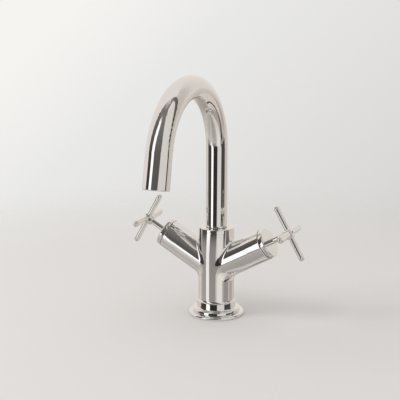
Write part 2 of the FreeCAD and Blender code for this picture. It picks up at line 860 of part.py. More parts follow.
def make_aerator():
    """Washer, housing and strainer, drawn with Z along the water and zero at the outlet's end face."""
    depth = -S.aerator_seat_depth
    outer = aerator_seat_radius - S.running_clearance
    washer_end = depth + S.aerator_washer_thickness
    washer = ring_piece("aerator_washer", outer - S.aerator_washer_width, outer, depth, washer_end)
    front = -S.aerator_recess
    lip_base = front - S.aerator_lip_height
    inner = outer - S.aerator_wall
    lip = inner - S.aerator_lip_width
    shell = turned_piece("aerator_shell", [
        (inner, washer_end),
        (outer, washer_end),
        (outer, front),
        (lip, front),
        (lip, lip_base),
        (inner, lip_base),
    ])
    notches = new_sketch(shell, "key_notch_section", role="XY_Plane", height=front)
    half = S.aerator_key_width / 2
    draw_outline(notches, [(-outer, -half), (outer, -half), (outer, half), (-outer, half)])
    pocket(shell, "key_notches", notches, S.aerator_lip_height)
    insert = new_body("aerator_insert")
    disc = new_sketch(insert, "strainer_section", role="XY_Plane", height=lip_base - S.strainer_thickness)
    strainer_radius = inner - S.running_clearance
    draw_circle(disc, strainer_radius)
    pad(insert, "strainer_disc", disc, S.strainer_thickness)
    cut_strainer_cells(insert, strainer_radius, lip_base)
    for piece in (washer, shell, insert):
        place_at_outlet(piece, "Placement", S.arch_turn_angle)
    return [washer, shell, insert]


def cut_strainer_cells(insert, strainer_radius, face_height):
    """Square cells through the strainer, one cut repeated in rows both ways."""
    before = solid_volume(insert)
    pitch = 2 * (strainer_radius - S.strainer_rim) / (CELL_COUNT + 1)
    width = pitch - S.strainer_rib
    row_length = pitch * (CELL_COUNT - 1)
    cell = new_sketch(insert, "cell_section", role="XY_Plane", height=face_height)
    low = -(row_length / 2) - width / 2
    high = low + width
    draw_outline(cell, [(low, low), (high, low), (high, high), (low, high)])
    first = pocket(insert, "cell", cell, S.strainer_thickness)
    grid = insert.newObject("PartDesign::MultiTransform", "cell_grid")
    grid.Originals = [first]
    rows = []
    for axis in ("H_Axis", "V_Axis"):
        row = insert.newObject("PartDesign::LinearPattern", f"cells_along_{axis[0]}")
        row.Direction = (cell, [axis])
        bind(row, "Length", row_length)
        row.Occurrences = CELL_COUNT
        rows.append(row)
    grid.Transformations = rows
    finish_feature(insert, grid, before, True)


# Valves

def sector_corners(turn_about, half_angle):
    """Outline of one bow-tie port of a ceramic disc, opening towards +X, or towards -X if turned about."""
    inner, outer = S.port_inner_radius, S.cavity_radius - S.port_margin
    cos_half, sin_half = cosine(half_angle), sine(half_angle)
    way = -1 if turn_about else 1
    return [
        (way * inner * cos_half, way * -inner * sin_half),
        (way * outer * cos_half, way * -outer * sin_half, outer, 1),
        (way * outer * cos_half, way * outer * sin_half),
        (way * inner * cos_half, way * inner * sin_half, inner, -1),
    ]


def cut_ports(body, height, across=True):
    """Two bow-tie ports through a disc, along X, or along Y where across is false."""
    sketch = new_sketch(body, f"{body.Label}_ports_section", role="XY_Plane", height=height)
    for turn_about in (False, True):
        corners = sector_corners(turn_about, S.port_half_angle)
        if not across:
            corners = [quarter_turn(corner) for corner in corners]
        draw_outline(sketch, corners)
    pocket(body, f"{body.Label}_ports", sketch, S.disc_thickness)


def make_headpart(name):
    """Brass headpart: a barrel with a disc cavity and two windows, a flange and a spanner hexagon."""
    nose_radius = spindle_bore + S.nose_wall
    body = turned_piece(name, [
        (S.cavity_radius, S.seat_distance + S.headpart_foot_gap),
        (barrel_radius, S.seat_distance + S.headpart_foot_gap),
        (barrel_radius, thread_distance),
        (thread_radius - S.running_clearance, thread_distance),
        (thread_radius - S.running_clearance, flange_base),
        (flange_radius, flange_base),
        (flange_radius, hex_base),
        (nose_radius, hex_base),
        (nose_radius, nose_end),
        (spindle_bore, nose_end),
        (spindle_bore, cavity_end),
        (S.cavity_radius, cavity_end),
    ])
    hexagon = new_sketch(body, f"{name}_hex_section", role="XY_Plane", height=hex_base)
    draw_outline(hexagon, hex_corners(hex_flats))
    draw_circle(hexagon, spindle_bore)
    pad(body, f"{name}_hexagon", hexagon, S.hex_height)
    window = new_sketch(body, f"{name}_window_section")
    half = S.window_width / 2
    low = moving_end + S.running_clearance
    draw_outline(window, [(-half, low), (half, low), (half, cavity_end), (-half, cavity_end)])
    pocket(body, f"{name}_windows", window, 2 * thread_radius, symmetric=True)
    return body


def make_moving_disc(name):
    """Upper ceramic disc: shut at rest, with its ports a quarter turn from the fixed disc's."""
    radius = S.cavity_radius - S.seat_clearance
    body = round_disc(name, radius, moving_base, moving_end)
    cut_ports(body, moving_end, across=False)
    slot = new_sketch(body, f"{name}_slot_section", role="XY_Plane", height=moving_end)
    half = S.tongue_width / 2 + S.joint_clearance
    draw_outline(slot, [(-radius, -half), (radius, -half), (radius, half), (-radius, half)])
    pocket(body, f"{name}_slot", slot, S.tongue_slot_depth)
    return body


def make_fixed_disc(name):
    """Lower ceramic disc, held in the headpart."""
    radius = S.cavity_radius - S.running_clearance
    end = disc_base + S.disc_thickness
    body = round_disc(name, radius, disc_base, end)
    cut_ports(body, end)
    return body


def make_spindle(name):
    """Brass spindle: driving tongue, journal with seal and circlip grooves, and the thin stem."""
    radius = S.spindle_radius
    half = S.spindle_seal_width / 2
    groove_radius = radius - S.spindle_groove_depth
    clip_floor = radius - S.circlip_groove_depth
    clip_end = circlip_base + S.circlip_thickness
    body = turned_piece(name, [
        (0, tongue_end),
        (radius, tongue_end),
        (radius, spindle_seal_distance - half),
        (groove_radius, spindle_seal_distance - half),
        (groove_radius, spindle_seal_distance + half),
        (radius, spindle_seal_distance + half),
        (radius, circlip_base),
        (clip_floor, circlip_base),
        (clip_floor, clip_end),
        (radius, clip_end),
        (radius, journal_end),
        (S.stem_radius, journal_end),
        (S.stem_radius, stem_end),
        (0, stem_end),
    ])
    reach = S.cavity_radius - S.seat_clearance
    side = S.tongue_width / 2
    corner = leg_of(reach, side)
    tongue = new_sketch(body, f"{name}_tongue_section", role="XY_Plane", height=tongue_base)
    draw_outline(tongue, [
        (-corner, -side),
        (corner, -side, reach, 1),
        (corner, side),
        (-corner, side, reach, 1),
    ])
    pad(body, f"{name}_tongue", tongue, S.tongue_height)
    return body


def make_circlip(name):
    """Spring ring in the spindle's groove, open on one side."""
    inner = S.spindle_radius - S.circlip_groove_depth + S.joint_clearance
    outer = S.spindle_radius + S.circlip_reach
    end = circlip_base + S.circlip_thickness
    body = new_body(name)
    profile = new_sketch(body, f"{name}_profile")
    draw_outline(profile, [
        (inner, circlip_base),
        (outer, circlip_base),
        (outer, end),
        (inner, end),
    ])
    revolve(body, f"{name}_turned", profile, angle=FULL_ANGLE - S.circlip_gap_angle)
    return body


def make_bonnet_cap(name):
    """Chromed cap on the branch's mouth: a skirt in the counterbore and a flat face with the stem's hole."""
    skirt_outer = counterbore_radius - S.running_clearance
    hex_corner = hex_corners(hex_flats)[0][0]
    skirt_inner = hex_corner + S.cap_skirt_gap
    base = branch_distance
    bevel = S.branch_edge_chamfer
    edge = S.cap_front_round
    return turned_piece(name, [
        (skirt_inner, base - S.cap_skirt_length),
        (skirt_outer, base - S.cap_skirt_length),
        (skirt_outer, base),
        (cap_radius - bevel, base),
        (cap_radius, base + bevel),
        (cap_radius, cap_end - edge, edge, 1),
        (cap_radius - edge, cap_end),
        (sleeve_radius + S.running_clearance, cap_end),
        (sleeve_radius + S.running_clearance, cap_end - S.cap_front_wall),
        (skirt_inner, cap_end - S.cap_front_wall),
    ])


# Handles

def draw_cross(sketch):
    """Outline of the cross: four arms that widen slightly to round tips, on lines that touch the tip arcs."""
    half, taper = S.arm_half_width, S.arm_taper_angle
    centre = S.arm_reach - half
    slope = tangent(taper)
    nook = (half / cosine(taper) - centre * slope) / (1 - slope)
    touch_out = centre - half * sine(taper)
    touch_side = half * cosine(taper)
    arm = [
        (nook, -nook),
        (touch_out, -touch_side, half, 1),
        (S.arm_reach, 0, half, 1),
        (touch_out, touch_side),
    ]
    corners = []
    for _ in range(ARM_COUNT):
        corners += arm
        arm = [quarter_turn(corner) for corner in arm]
    draw_outline(sketch, corners)


def quarter_turn(corner):
    """The same corner a quarter turn further round the sketch's origin."""
    across, up, *arc = corner
    return (-up if isinstance(up, Size) else 0, across, *arc)


def make_cross_handle(name):
    """Cross handle: a flat cross with fully rounded edges, on a turned hub with a stepped neck."""
    body = new_body(name)
    cross = new_sketch(body, f"{name}_cross_section", role="XY_Plane", height=hub_distance)
    draw_cross(cross)
    pad(body, f"{name}_cross", cross, S.arm_thickness, symmetric=True)
    faces = (arm_base.value, (arm_base + S.arm_thickness).value)
    flat = named_edges(body, lambda edge: edge.BoundBox.ZLength < TOLERANCE
                       and min(abs(edge.BoundBox.ZMin - face) for face in faces) < TOLERANCE)
    dress(body, f"{name}_edges", "Fillet", flat, "Radius", (S.arm_thickness - S.arm_flat) / 2)
    hub = new_sketch(body, f"{name}_hub_profile")
    step_end = neck_base + S.neck_step
    dome_base = hub_end - S.hub_dome_height
    rise = S.hub_dome_height
    dome = (S.hub_radius * S.hub_radius + rise * rise) / (2 * rise)
    draw_outline(hub, [
        (0, neck_base),
        (S.neck_radius, neck_base),
        (S.neck_radius, step_end),
        (S.collar_radius, step_end),
        (S.collar_radius, arm_base),
        (S.hub_radius, arm_base),
        (S.hub_radius, dome_base, dome, 1),
        (0, hub_end),
    ])
    revolve(body, f"{name}_hub", hub)
    bore = new_sketch(body, f"{name}_bore_section", role="XY_Plane", height=neck_base)
    draw_circle(bore, S.stem_radius + S.joint_clearance)
    pocket(body, f"{name}_bore", bore, S.spindle_engagement + S.seat_clearance, reverse=True)
    index = new_sketch(body, f"{name}_index_section", role="XY_Plane", height=hub_end)
    draw_circle(index, S.index_radius)
    pocket(body, f"{name}_index_seat", index, S.index_depth)
    screw = new_sketch(body, f"{name}_screw_section")
    draw_circle(screw, S.handle_screw_radius + S.joint_clearance, up=handle_screw_distance())
    pocket(body, f"{name}_screw_hole", screw, S.collar_radius + S.hub_radius)
    return body


def handle_screw_distance():
    """The screw stands in the middle of the collar, between the neck's step and the arms."""
    return (neck_base + S.neck_step + arm_base) / 2


def make_handle_screw(name):
    """Tiny grub screw that clamps the handle on the stem, at the back of the collar."""
    start = S.stem_radius + S.joint_clearance
    tail = S.collar_radius - S.handle_screw_recess
    distance = handle_screw_distance()
    body = new_body(name)
    shank = new_sketch(body, f"{name}_section", height=-tail)
    draw_circle(shank, S.handle_screw_radius, up=distance)
    pad(body, f"{name}_shank", shank, tail - start)
    key = new_sketch(body, f"{name}_key_section", height=-tail)
    draw_outline(key, [(across, distance + up) for across, up in hex_corners(S.handle_screw_radius)])
    pocket(body, f"{name}_key", key, (tail - start) / 2, reverse=True)
    return body


def make_index_dot(name):
    """Enamel dot that marks hot or cold."""
    base = hub_end - S.index_depth
    radius = S.index_radius - S.joint_clearance
    top = hub_end + S.index_proud
    return turned_piece(name, [
        (0, base),
        (radius, base),
        (radius, hub_end),
        (radius - S.index_proud, top),
        (0, top),
    ])


def make_valve(word, side):
    """Every piece of one valve and its handle."""
    seat_seal_radius = S.cavity_radius - S.seat_seal_gap
    pieces = [
        make_headpart(f"headpart_{word}"),
        ring_piece(f"headpart_seal_{word}", thread_radius + S.running_clearance,
                   flange_radius, shoulder_distance, flange_base),
        ring_piece(f"seat_seal_{word}", seat_seal_radius - S.seat_seal_width, seat_seal_radius,
                   S.seat_distance, disc_base),
        make_fixed_disc(f"fixed_disc_{word}"),
        make_bonnet_cap(f"bonnet_cap_{word}"),
        make_moving_disc(f"moving_disc_{word}"),
        make_spindle(f"spindle_{word}"),
        seal_ring(f"spindle_oring_{word}", S.spindle_radius - S.spindle_groove_depth,
                  spindle_bore - S.joint_clearance, spindle_seal_distance),
        make_circlip(f"spindle_circlip_{word}"),
        ring_piece(f"stem_sleeve_{word}", S.stem_radius + S.running_clearance, sleeve_radius,
                   journal_end, neck_base),
        make_cross_handle(f"cross_handle_{word}"),
        make_index_dot(f"index_dot_{word}"),
        make_handle_screw(f"handle_screw_{word}"),
    ]
    for piece in pieces:
        seat_on_valve(piece, side)
    return pieces


# Fixing kit under the deck

def make_crescent(name, top, thickness):
    """Horseshoe plate that hooks round the hoses and hangs on the stud."""
    body = new_body(name)
    plate = new_sketch(body, f"{name}_section", role="XY_Plane", height=top - thickness)
    half, corner = S.crescent_slot_half_width, S.crescent_slot_round
    outer = half + S.crescent_side
    hole_radius = S.stud_radius + S.stud_hole_gap
    end = stud_back_offset - hole_radius - S.crescent_bridge
    draw_circle(plate, outer)
    pad(body, f"{name}_plate", plate, thickness)
    slot = new_sketch(body, f"{name}_slot_section", role="XY_Plane", height=top)
    draw_outline(slot, [
        (-half, -outer),
        (half, -outer),
        (half, end - corner, corner, 1),
        (half - corner, end),
        (corner - half, end, corner, 1),
        (-half, end - corner),
    ])
    pocket(body, f"{name}_slot", slot, thickness)
    hole = new_sketch(body, f"{name}_hole_section", role="XY_Plane", height=top)
    draw_circle(hole, hole_radius, up=stud_back_offset)
    pocket(body, f"{name}_hole", hole, thickness)
    return body


def stand_on_stud(piece):
    piece.Placement = Placement(Vector(0, stud_back_offset.value, 0), Rotation())
    piece.setExpression("Placement.Base.y", stud_back_offset.text)
    return piece


def make_fixing_kit():
    gasket_top = -S.deck_thickness
    washer_top = gasket_top - S.deck_gasket_thickness
    nut_top = washer_top - S.deck_washer_thickness
    nut_base = nut_top - S.nut_height
    gasket = make_crescent("deck_gasket", gasket_top, S.deck_gasket_thickness)
    washer = make_crescent("horseshoe_washer", washer_top, S.deck_washer_thickness)
    bevel = S.stud_chamfer
    stud_base = nut_base - S.stud_tail
    stud_top = S.stud_hole_depth - S.seat_clearance
    stud = turned_piece("fixing_stud", [
        (0, stud_base),
        (S.stud_radius - bevel, stud_base),
        (S.stud_radius, stud_base + bevel),
        (S.stud_radius, stud_top - bevel),
        (S.stud_radius - bevel, stud_top),
        (0, stud_top),
    ])
    return [gasket, washer, stand_on_stud(stud), stand_on_stud(make_nut(nut_base, nut_top))]


def make_nut(base, top):
    """Hexagon nut with bevelled corners."""
    nut = new_body("fixing_nut")
    corners = hex_corners(S.nut_flats)
    hexagon = new_sketch(nut, "nut_section", role="XY_Plane", height=base)
    draw_outline(hexagon, corners)
    draw_circle(hexagon, S.stud_radius + S.joint_clearance)
    pad(nut, "nut_block", hexagon, S.nut_height)
    outer = corners[0][0] + S.seat_clearance
    inner = S.nut_flats / 2
    rise = (outer - inner) * tangent(S.nut_bevel_angle)
    bevel = new_sketch(nut, "nut_bevel_profile")
    draw_outline(bevel, [(inner, base), (outer, base), (outer, base + rise)])
    draw_outline(bevel, [(inner, top), (outer, top - rise), (outer, top)])
    revolve(nut, "nut_bevels", bevel, cut=True)
    return nut


def make_all():
    pieces = [
        make_plinth_ring(),
        make_plinth_gasket(),
        make_mixer_body(),
        make_slide_ring(),
        make_lock_screw(),
        make_spout_tube(),
        make_spout_spigot(),
        make_spout_orings(),
    ]
    pieces += make_aerator()
    for word, side in SIDES.items():
        pieces += make_valve(word, side)
    pieces += make_fixing_kit()
    return pieces


def check_and_export(pieces):
    """Stop on any failed object or bad shape, and only then write the files."""
    doc.recompute()
    for item in doc.Objects:
        if "Invalid" in item.State or "Error" in item.State:
            raise RuntimeError(f"{item.Name} failed: {item.State}")
    for piece in pieces:
        if piece.Shape.isNull() or not piece.Shape.isValid() or not piece.Shape.Solids:
            raise RuntimeError(f"{piece.Label} has no valid solid")
    os.makedirs("parts", exist_ok=True)
    for piece in pieces:
        piece.Shape.exportStep(os.path.join("parts", f"{piece.Label}.step"))
        solids = len(piece.Shape.Solids)
        print(f"{piece.Label}: {solids} solid(s), {piece.Shape.Volume:.1f} mm3")


check_and_export(make_all())
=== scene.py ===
"""A deck-mounted basin mixer with a swan-neck spout and two cross handles, dressed round its CAD frame.

Units are metres, the spout points to -Y and the handles lie along X, as in the frame.
"""
import json
import math

import bpy
import numpy as np
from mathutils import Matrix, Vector

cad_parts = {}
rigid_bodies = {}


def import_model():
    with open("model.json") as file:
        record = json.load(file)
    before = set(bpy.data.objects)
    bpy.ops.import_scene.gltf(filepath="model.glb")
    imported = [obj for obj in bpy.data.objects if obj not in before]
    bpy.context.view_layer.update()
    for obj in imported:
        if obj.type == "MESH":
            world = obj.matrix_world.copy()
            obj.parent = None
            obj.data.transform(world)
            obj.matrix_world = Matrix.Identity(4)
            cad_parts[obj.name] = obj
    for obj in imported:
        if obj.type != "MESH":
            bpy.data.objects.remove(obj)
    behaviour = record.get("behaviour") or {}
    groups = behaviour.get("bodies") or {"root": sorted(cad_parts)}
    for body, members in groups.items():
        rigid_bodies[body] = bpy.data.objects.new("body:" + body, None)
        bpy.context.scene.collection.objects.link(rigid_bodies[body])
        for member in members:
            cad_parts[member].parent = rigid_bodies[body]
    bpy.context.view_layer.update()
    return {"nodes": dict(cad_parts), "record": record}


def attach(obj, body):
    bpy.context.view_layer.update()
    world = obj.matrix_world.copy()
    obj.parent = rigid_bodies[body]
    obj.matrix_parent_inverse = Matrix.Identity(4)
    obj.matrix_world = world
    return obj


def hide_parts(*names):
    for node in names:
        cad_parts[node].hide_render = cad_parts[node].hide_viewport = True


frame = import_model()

MM = 0.001


# Nodes of a material or the world

def linear(code):
    """An sRGB hex colour as linear red, green, blue and alpha."""
    parts = [int(code[i:i + 2], 16) / 255 for i in (1, 3, 5)]
    return [c / 12.92 if c <= 0.04045 else ((c + 0.055) / 1.055) ** 2.4 for c in parts] + [1.0]


def per_mm(size):
    """The texture scale whose pattern repeats about every so many millimetres."""
    return 1 / (size * MM)


def add_node(tree, kind, settings=None, inputs=None):
    """Adds a node with its own settings, and gives its inputs their values or links."""
    node = tree.nodes.new(kind)
    for name, value in (settings or {}).items():
        setattr(node, name, value)
    for name, value in (inputs or {}).items():
        if isinstance(value, bpy.types.NodeSocket):
            tree.links.new(value, node.inputs[name])
        else:
            node.inputs[name].default_value = value
    return node


def set_stops(ramp, stops):
    """Puts the colours or plain shares of a ramp at their places, from 0 to 1."""
    elements = ramp.color_ramp.elements
    while len(elements) < len(stops):
        elements.new(1.0)
    for element, (place, value) in zip(elements, stops):
        element.position = place
        element.color = linear(value) if isinstance(value, str) else (value, value, value, 1.0)


def new_material(name):
    """An empty material with its shader and a reading of the piece's own coordinates."""
    material = bpy.data.materials.new(name)
    material.use_nodes = True
    tree = material.node_tree
    tree.nodes.clear()
    shader = add_node(tree, "ShaderNodeBsdfPrincipled")
    add_node(tree, "ShaderNodeOutputMaterial", inputs={"Surface": shader.outputs["BSDF"]})
    place = add_node(tree, "ShaderNodeTexCoord").outputs["Object"]
    return material, tree, shader, place


def mottled_finish(name, colours, patch, gloss, grain, depth, metallic=0.0):
    """A finish whose colour and gloss drift in soft patches, over a fine grain.

    patch and grain are sizes in millimetres, gloss is the least and the greatest roughness, and depth
    the grain's height in millimetres.
    """
    material, tree, shader, place = new_material(name)
    patches = add_node(tree, "ShaderNodeTexNoise", inputs={
        "Vector": place, "Scale": per_mm(patch), "Detail": 4.0, "Roughness": 0.55,
    }).outputs["Fac"]
    tone = add_node(tree, "ShaderNodeValToRGB", inputs={"Fac": patches})
    set_stops(tone, [(0.35, colours[0]), (0.65, colours[1])])
    rough = add_node(tree, "ShaderNodeMapRange", inputs={
        "Value": patches, "From Min": 0.3, "From Max": 0.7, "To Min": gloss[0], "To Max": gloss[1],
    })
    fine = add_node(tree, "ShaderNodeTexNoise", inputs={
        "Vector": place, "Scale": per_mm(grain), "Detail": 2.0,
    })
    bump = add_node(tree, "ShaderNodeBump", inputs={
        "Height": fine.outputs["Fac"], "Distance": depth * MM, "Strength": 1.0,
    })
    tree.links.new(tone.outputs["Color"], shader.inputs["Base Color"])
    tree.links.new(rough.outputs["Result"], shader.inputs["Roughness"])
    tree.links.new(bump.outputs["Normal"], shader.inputs["Normal"])
    shader.inputs["Metallic"].default_value = metallic
    return material


# The grains of the finishes are drawn about 0.3 to 0.8 mm wide, coarser than they are, so that they show.

# Chromed brass: cast, ground, polished and plated, so reflections are sharp with a slight wave,
# and dried water leaves faint duller patches.
CHROME = mottled_finish("chromed_brass", ("#efeeec", "#ebeae8"), 28, (0.03, 0.055), 16, 0.004, 1.0)
# Brass turned on a lathe: warm yellow metal with fine tool marks and a satin glint.
BRASS = mottled_finish("turned_brass", ("#c0a766", "#ad9150"), 9, (0.22, 0.36), 0.5, 0.01, 1.0)
# Steel with passivated zinc: cool grey with patches that lean to straw yellow.
ZINC = mottled_finish("zinc_plated_steel", ("#b9bec4", "#bdb7a4"), 5, (0.28, 0.45), 0.4, 0.01, 1.0)
# Stainless steel, machined: neutral grey with a soft gloss.
STAINLESS = mottled_finish("stainless_steel", ("#b5b4b1", "#a6a5a3"), 3, (0.2, 0.34), 0.3, 0.006, 1.0)
# EPDM rubber, moulded: near black and dull, with a trace of grey bloom.
RUBBER = mottled_finish("epdm_rubber", ("#1b1b1c", "#28282a"), 6, (0.6, 0.8), 0.35, 0.02)
# Alumina ceramic, lapped flat: warm white, dense and half glossy.
CERAMIC = mottled_finish("alumina_ceramic", ("#efece4", "#e6e2d8"), 4, (0.15, 0.3), 0.3, 0.003)
# Acetal, injection moulded: milky white with a waxy sheen.
ACETAL = mottled_finish("white_acetal", ("#e8e7e2", "#dfddd6"), 7, (0.32, 0.45), 0.6, 0.006)
# Stoved enamel in the index dots: glassy and saturated, with a slight swell of the surface.
RED_ENAMEL = mottled_finish("red_enamel", ("#b2202b", "#9b1a25"), 1.5, (0.1, 0.2), 0.8, 0.01)
BLUE_ENAMEL = mottled_finish("blue_enamel", ("#1d4fae", "#173f92"), 1.5, (0.1, 0.2), 0.8, 0.01)

FINISHES = {
    "polished_chrome": CHROME, "turned_brass": BRASS, "zinc_plated_steel": ZINC,
    "stainless_steel": STAINLESS, "black_rubber": RUBBER, "alumina_ceramic": CERAMIC,
    "white_acetal": ACETAL, "red_enamel": RED_ENAMEL, "blue_enamel": BLUE_ENAMEL,
}


# Pieces

MERGE_DISTANCE = 0.001 * MM
# Edges that turn by more than this stay sharp
SHARP_EDGE = math.radians(28)


def only(piece):
    """Selects one object alone and makes it active."""
    for o in bpy.context.view_layer.objects:
        o.select_set(False)
    piece.select_set(True)
    bpy.context.view_layer.objects.active = piece


def finish_piece(piece, material):
    """Gives the piece one material all over."""
    piece.data.materials.clear()
    piece.data.materials.append(material)


def body_of_node(node):
    """The moving body that a CAD node belongs to."""
    return next(b for b, nodes in frame["record"]["behaviour"]["bodies"].items() if node in nodes)


def merged_copy(node):
    """A copy of a node with its doubled points merged, which stands for it."""
    piece = bpy.data.objects.new(f"{node}_polished", frame["nodes"][node].data.copy())
    bpy.context.scene.collection.objects.link(piece)
    only(piece)
    bpy.ops.object.mode_set(mode="EDIT")
    bpy.ops.mesh.select_all(action="SELECT")
    bpy.ops.mesh.remove_doubles(threshold=MERGE_DISTANCE)
    bpy.ops.object.mode_set(mode="OBJECT")
    finish_piece(piece, CHROME)
    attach(piece, body_of_node(node))
    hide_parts(node)
    return piece


def polish(piece):
    """Smooth shading whose normals follow the broad faces."""
    only(piece)
    bpy.ops.object.shade_smooth_by_angle(angle=SHARP_EDGE)
    weighted = piece.modifiers.new("even_normals", "WEIGHTED_NORMAL")
    weighted.keep_sharp = True
    bpy.ops.object.modifier_apply(modifier=weighted.name)


for node in frame["nodes"].values():
    finish_piece(node, FINISHES[node.data.materials[0].name])

CHROMED = [
    "plinth_ring", "spout_tube", "aerator_shell",
    "bonnet_cap_left", "bonnet_cap_right", "stem_sleeve_left", "stem_sleeve_right",
    "cross_handle_left", "cross_handle_right",
]
for node in CHROMED:
    polish(merged_copy(node))


# The body, whose column and branches run into each other in hollow curves

COLUMN_RADIUS = 18.7 * MM
BRANCH_RADIUS = 16.2 * MM
BRANCH_ROOT = np.array((0.0, 0.0, 50.6)) * MM
BRANCH_RISE = math.radians(29.1)
# The ends of the blended skin: two heights of the column and a distance along each branch
SKIN_LOW, SKIN_HIGH, SKIN_REACH = 30 * MM, 90 * MM, 46 * MM
# The width of the passage between column and branch in front, over the branch and under it
BLEND_FRONT, BLEND_ROOF, BLEND_ARMPIT = 2.2 * MM, 3.4 * MM, 5.2 * MM
# The skin's mesh: the size of its cells, and how many times its points are drawn onto the surface
CELL, DRAWS = 0.7 * MM, 8
# How far under the body's surface the exchanged faces may lie, and where the CAD foot's wall begins
SKIN_DEPTH, FOOT_INSIDE, FOOT_UNDERSIDE = 2 * MM, 17.5 * MM, 3.7 * MM
# The foot in millimetres: its lean, and the middles and radii of its shoulder and of the bend above it
FOOT_LEAN = math.tan(math.radians(4))
SHOULDER_MIDDLE, SHOULDER_RADIUS = (23.1, 5.95), 1.5
BEND_MIDDLE, BEND_RADIUS = (21.7, 8.65), 1.2
# The joint between a branch and its cap, drawn as a dark ring of painted shade where the groove lies in
# shadow: how far along the branch it lies, the radius of its ring and the radius of the ring's section
JOINT_REACH, JOINT_RADIUS, JOINT_SECTION = 62.3 * MM, 15.45 * MM, 0.4 * MM


def branch_axis(side):
    """The way the branch points away from the column, and the way its upper side faces."""
    rise, run = math.sin(BRANCH_RISE), math.cos(BRANCH_RISE)
    return np.array((side * run, 0, rise)), np.array((-side * rise, 0, run))


def outside_body(points):
    """How far points are outside the column and branches, with a soft passage from one to the other.

    The passage is narrow in front, wider over the branches and widest in the armpits under them.
    """
    gap = np.hypot(points[:, 0], points[:, 1]) - COLUMN_RADIUS
    for side in (-1, 1):
        axis, roof = branch_axis(side)
        offset = points - BRANCH_ROOT
        along = np.maximum(offset @ axis, 0)
        branch = np.linalg.norm(offset - along[:, None] * axis, axis=1) - BRANCH_RADIUS
        up = np.clip((offset @ roof) / BRANCH_RADIUS, -1, 1)
        widest = np.where(up > 0, BLEND_ROOF, BLEND_ARMPIT)
        width = BLEND_FRONT + (widest - BLEND_FRONT) * up ** 2
        overlap = np.maximum(width - np.abs(gap - branch), 0) / width
        gap = np.minimum(gap, branch) - overlap ** 2 * width / 4
    return gap


def slope_of_body(points):
    """How fast the distance outside the body grows along x, y and z, over a small step each way."""
    step = 0.01 * MM
    slopes = []
    for way in np.eye(3):
        ahead, behind = outside_body(points + step * way), outside_body(points - step * way)
        slopes.append((ahead - behind) / (2 * step))
    return np.stack(slopes, axis=1)


def cut_planes():
    """The planes that bound the blended skin: place and outward direction."""
    planes = [((0, 0, SKIN_LOW), (0, 0, -1)), ((0, 0, SKIN_HIGH), (0, 0, 1))]
    for side in (-1, 1):
        axis = branch_axis(side)[0]
        planes.append((tuple(BRANCH_ROOT + SKIN_REACH * axis), tuple(axis)))
    return planes


def cut(piece, clear):
    """Cuts the piece along the planes, and clears what lies beyond them if asked."""
    only(piece)
    bpy.ops.object.mode_set(mode="EDIT")
    for place, outward in cut_planes():
        bpy.ops.mesh.select_all(action="SELECT")
        bpy.ops.mesh.bisect(plane_co=place, plane_no=outward, clear_outer=clear)
    bpy.ops.object.mode_set(mode="OBJECT")


def body_skin():
    """Outer skin of the column between its foot and top, with the roots of both branches.

    Three rods are remeshed to one skin, which is cut to length and drawn onto the blended surface.
    """
    extra = 5 * MM
    rods = []
    height = SKIN_HIGH - SKIN_LOW + 2 * extra
    bpy.ops.mesh.primitive_cylinder_add(vertices=160, radius=COLUMN_RADIUS, depth=height,
                                        location=(0, 0, (SKIN_LOW + SKIN_HIGH) / 2))
    rods.append(bpy.context.active_object)
    length = SKIN_REACH + extra
    for side in (-1, 1):
        middle = BRANCH_ROOT + branch_axis(side)[0] * length / 2
        turn = side * (math.pi / 2 - BRANCH_RISE)
        bpy.ops.mesh.primitive_cylinder_add(vertices=160, radius=BRANCH_RADIUS, depth=length,
                                            location=tuple(middle), rotation=(0, turn, 0))
        rods.append(bpy.context.active_object)
    only(rods[0])
    for rod in rods:
        rod.select_set(True)
    bpy.ops.object.join()
    skin = bpy.context.active_object
    skin.name = "body_skin"
    bpy.ops.object.transform_apply(location=True, rotation=True, scale=True)
    skin.data.remesh_voxel_size = CELL
    bpy.ops.object.voxel_remesh()
    cut(skin, True)
    mesh = skin.data
    points = np.empty(3 * len(mesh.vertices))
    mesh.vertices.foreach_get("co", points)
    points = points.reshape(-1, 3).astype(float)
    for _ in range(DRAWS):
        slope = slope_of_body(points)
        points -= outside_body(points)[:, None] * slope / (slope ** 2).sum(axis=1)[:, None]
    mesh.vertices.foreach_set("co", points.ravel())
    mesh.update()
    bpy.ops.object.shade_smooth()
    slope = slope_of_body(points)
    mesh.normals_split_custom_set_from_vertices(slope / np.linalg.norm(slope, axis=1)[:, None])
    finish_piece(skin, CHROME)
    return skin


def turned_skin(name, profile):
    """A skin turned from a profile of radii and heights in millimetres, ring by ring from the first."""
    radius, height = profile[0]
    bpy.ops.mesh.primitive_circle_add(vertices=192, radius=radius * MM, fill_type="NOTHING",
                                      location=(0, 0, height * MM))
    skin = bpy.context.active_object
    skin.name = name
    bpy.ops.object.transform_apply(location=True, rotation=True, scale=True)
    bpy.ops.object.mode_set(mode="EDIT")
    bpy.ops.mesh.select_all(action="SELECT")
    for next_radius, next_height in profile[1:]:
        bpy.ops.mesh.extrude_edges_move(
            TRANSFORM_OT_translate={"value": (0, 0, (next_height - height) * MM)})
        share = next_radius / radius
        bpy.ops.transform.resize(value=(share, share, 1), center_override=(0, 0, next_height * MM))
        radius, height = next_radius, next_height
    bpy.ops.mesh.select_all(action="SELECT")
    bpy.ops.mesh.normals_make_consistent(inside=False)
    bpy.ops.object.mode_set(mode="OBJECT")
    finish_piece(skin, CHROME)
    polish(skin)
    return skin


def arc(middle, radius, degrees):
    """Points on an arc of a profile, bulging outwards, or hollow if the radius is negative."""
    turns = [math.radians(turn) for turn in degrees]
    return [(middle[0] + radius * math.cos(turn), middle[1] + radius * math.sin(turn)) for turn in turns]


